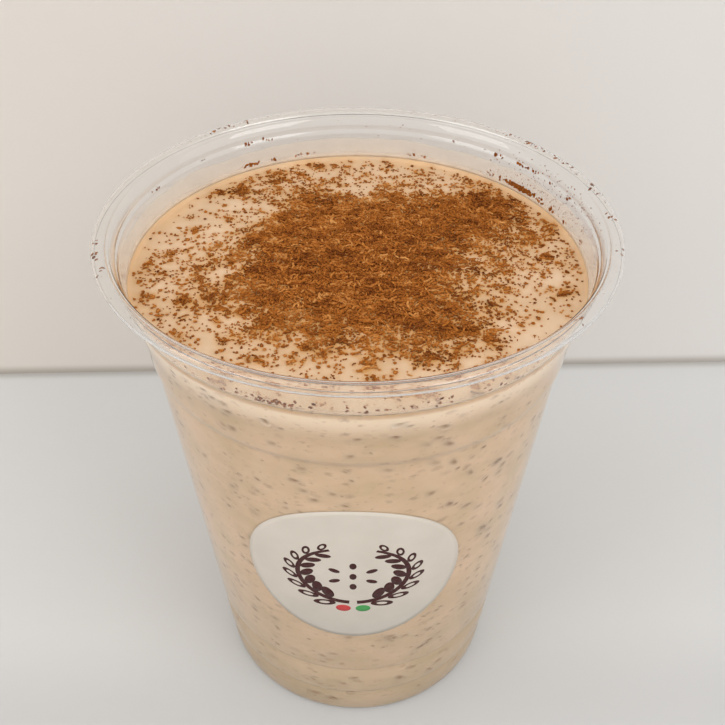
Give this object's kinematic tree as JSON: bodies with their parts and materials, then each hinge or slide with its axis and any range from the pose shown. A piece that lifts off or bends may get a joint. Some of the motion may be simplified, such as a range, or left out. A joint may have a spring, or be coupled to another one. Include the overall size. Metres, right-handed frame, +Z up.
{
  "type": "rice pudding in a clear cup",
  "caption": "Creamy rice pudding filling a clear tapered plastic cup with a rolled rim, a round paper label and ground cinnamon on top.",
  "frame": {"origin": "centre of the cup's base, on the surface it stands on", "axes": "+Z up along the cup's axis, -Y towards the side with the label"},
  "size_m": [0.098, 0.098, 0.1161],
  "materials": {
    "clear_plastic": "clear glossy PET, thin and colourless",
    "rice_cream": "wet satin cream with soft brown flecks",
    "label_paper": "smooth coated paper with simple dark line art",
    "cinnamon": "dry ground spice, matte"
  },
  "bodies": {
    "root": {"cup": "clear_plastic", "pudding": "rice_cream", "label": "label_paper"}
  },
  "joints": []
}
